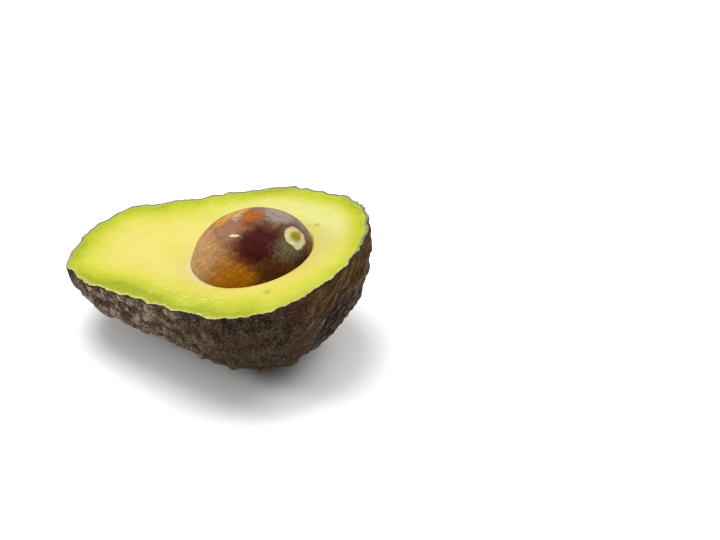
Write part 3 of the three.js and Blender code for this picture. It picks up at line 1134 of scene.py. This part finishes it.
def band(x, start, full, ending, end):
    """0, then 1 from full to ending, then 0 again, with soft slopes between."""
    return smooth(x, start, full) * (1 - smooth(x, ending, end))


plain_seed = seed_point(seed_directions)
face_middle = seed_point(pale_axis)
from_face = np.linalg.norm(plain_seed - face_middle, axis=-1) / PALE_RADIUS
face_edge = from_face + seed_noise(*WOBBLES)
columns_turn = np.linspace(0, 2 * math.pi, SEED_COLUMNS, endpoint=False)[None, :]
folding = np.sin(FACE["folds"] * columns_turn + seed_noise((4, 3, 22)))
face_lift = FACE["rise"] * (1 - smooth(face_edge, *RISE_ENDS))
face_lift -= FACE["dimple"] * (1 - smooth(face_edge, *DIMPLE_ENDS))
face_lift -= FACE["moat"] * band(face_edge, *MOAT_BAND)
face_lift += FACE["fold_depth"] * folding * band(face_edge, *FOLD_BAND)
print("the pale end rises", face_lift.max().round(2), "mm and dips", -face_lift.min().round(2), "mm")

# %% [markdown]
# ## Dents, chip and streaks
# A dent is soft noise that fades away towards the pale end and below the cut, where the seed must fit its
# hollow. The chip is an ellipse with a ragged border, turned to lie along the veins. The finish draws its
# streaks by the turn round the pale end, kept as a point on a circle so that no seam shows.

# %% Dents, chip and streaks
DENTS = ((0.35, 2.2, 23), (0.12, 6, 24))
DENTS_FROM_FACE, DENTS_ABOVE_CUT = (1.5, 5), (0.5, 5)
CHIP = {"place": (0.03, -0.36, 0.93), "turn": math.radians(28), "size": (0.10, 0.025), "height": 0.15}
CHIP_BORDER = (0.7, 1.1)
CHIP_RAGGED = (0.5, 45, 25)
STREAKS = 26
STREAK_LENGTH = 4.5

chip_x, chip_y, _ = np.moveaxis(seed_directions - np.array(CHIP["place"]), -1, 0)
chip_along = chip_x * math.cos(CHIP["turn"]) - chip_y * math.sin(CHIP["turn"])
chip_across = chip_x * math.sin(CHIP["turn"]) + chip_y * math.cos(CHIP["turn"])
from_chip = np.hypot(chip_along / CHIP["size"][0], chip_across / CHIP["size"][1]) + seed_noise(CHIP_RAGGED)
chip = (1 - smooth(from_chip, *CHIP_BORDER)) * smooth(seed_directions[..., 2], 0, 0.1)
dents = seed_noise(*DENTS) * smooth(from_face, *DENTS_FROM_FACE)
dents *= smooth(plain_seed[..., 2], *DENTS_ABOVE_CUT)
seed_lift = face_lift + dents + CHIP["height"] * chip
lifted_seed = plain_seed - grid_normals(plain_seed) * seed_lift[..., None]

streak_turn = [STREAKS * turn(columns_turn) + np.zeros_like(from_face) for turn in (np.cos, np.sin)]
seed_attributes = {
    "seed_direction": seed_directions,
    "streak": np.stack([*streak_turn, from_face * PALE_RADIUS / STREAK_LENGTH], -1),
    "face": face_edge,
    "chip": chip,
}
closed_piece("avocado_seed", lay(lifted_seed), seed_attributes, seed_coat, "seed")

# %% [markdown]
# ## Floor
# The half lies on a bright white ground that has no edge in view. A flat square does that when it is large
# enough. It is almost, but not quite, one white, because a perfectly even floor looks like empty paper.

# %% Floor
FLOOR_SIDE = 6.0
FLOOR_WHITE = 0.93
FLOOR_DIMMER = 0.985
FLOOR_CLOUDS = 60


def white_ground():
    """Nearly even white, with clouds too faint to be noticed."""
    finish, shader = new_finish("white_ground")
    clouds = noise(millimetres(), FLOOR_CLOUDS, detail=2)
    bright = (FLOOR_WHITE,) * 3
    dimmer = (FLOOR_WHITE * FLOOR_DIMMER,) * 3
    plug(shader["Base Color"], mix(clouds, bright, dimmer))
    shader["Roughness"].default_value = 0.6
    return finish


half_side = FLOOR_SIDE / 2
floor_mesh = bpy.data.meshes.new("ground")
floor_corners = [(x * half_side, y * half_side, 0) for x, y in ((-1, -1), (1, -1), (1, 1), (-1, 1))]
floor_mesh.from_pydata(floor_corners, [], [(0, 1, 2, 3)])
floor_mesh.materials.append(white_ground())
ground = bpy.data.objects.new("ground", floor_mesh)
bpy.context.scene.collection.objects.link(ground)
ground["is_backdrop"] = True
print("the ground is", FLOOR_SIDE, "m wide")

# %% [markdown]
# ## Light
# The key lamp hangs high above the fruit, a little to the left and behind it, and gives the seed its sheen.
# A second lamp behind at the right keeps the cut bright, and a small fill at the left brings out the
# pebbles of the dark skin. No lamp stands in front. A wide panel overhead makes the shadow darkest where
# the fruit touches the ground, because there the fruit hides all of it. A weak pale sky fills the rest.

# %% Light
LAMPS = (
    ("key_lamp", (-0.25, 0.22, 1.1), 0.7, 11),
    ("right_lamp", (0.65, 0.50, 0.85), 0.7, 6.5),
    ("left_fill", (-1.00, -0.20, 0.50), 0.35, 5.5),
    ("ceiling_panel", (0, 0, 1.5), 2.0, 11),
)
SKY_STRENGTH = 0.25


def soft_lamp(name, place, size, power):
    """A square lamp that looks at the fruit."""
    lamp = bpy.data.lights.new(name, "AREA")
    lamp.size = size
    lamp.energy = power
    lamp_object = bpy.data.objects.new(name, lamp)
    lamp_object.location = place
    lamp_object.rotation_euler = (-Vector(place)).to_track_quat("-Z", "Y").to_euler()
    bpy.context.scene.collection.objects.link(lamp_object)


for lamp_settings in LAMPS:
    soft_lamp(*lamp_settings)
sky = bpy.data.worlds.new("pale_sky")
sky.use_nodes = True
sky.node_tree.nodes["Background"].inputs["Strength"].default_value = SKY_STRENGTH
sky.node_tree.nodes["Background"].inputs["Color"].default_value = (1, 1, 1, 1)
bpy.context.scene.world = sky
bpy.context.scene.view_settings.view_transform = "Standard"
print("lamps:", [name for name, *_ in LAMPS])

# %% [markdown]
# ## Camera
# The camera is more than half a metre away with a long lens, which keeps the near end of the fruit from
# swelling. It looks down at about 39 degrees, so the whole cut shows and the belly of the skin below it.

# %% Camera
CAMERA_PLACE = Vector((134.9, -485.7, 434.0)) * MM
CAMERA_TURN = math.radians(11.47)
CAMERA_DOWN = math.radians(38.74)
LENS = 100.0
SENSOR = 36.0

camera = bpy.data.cameras.new("camera")
camera.lens = LENS
camera.sensor_width = SENSOR
camera_object = bpy.data.objects.new("camera", camera)
camera_object.location = CAMERA_PLACE
camera_object.rotation_euler = (math.pi / 2 - CAMERA_DOWN, 0, CAMERA_TURN)
bpy.context.scene.collection.objects.link(camera_object)
bpy.context.scene.camera = camera_object
print("the camera is", round(CAMERA_PLACE.length, 2), "m from the fruit")

# %% [markdown]
# ## The size
# The box round the finished pieces must agree with the box of the solid model, or the finer surface has
# changed the size of the fruit. The sizes of both boxes are printed for that.

# %% The size of the pieces
visual_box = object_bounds()
sizes = {"cad": [list(corner) for corner in cad_box], "visual": [list(corner) for corner in visual_box]}
for name, corners in sizes.items():
    print("size of", name, "in mm:", (np.ptp(corners, axis=0) / MM).round(1).tolist())
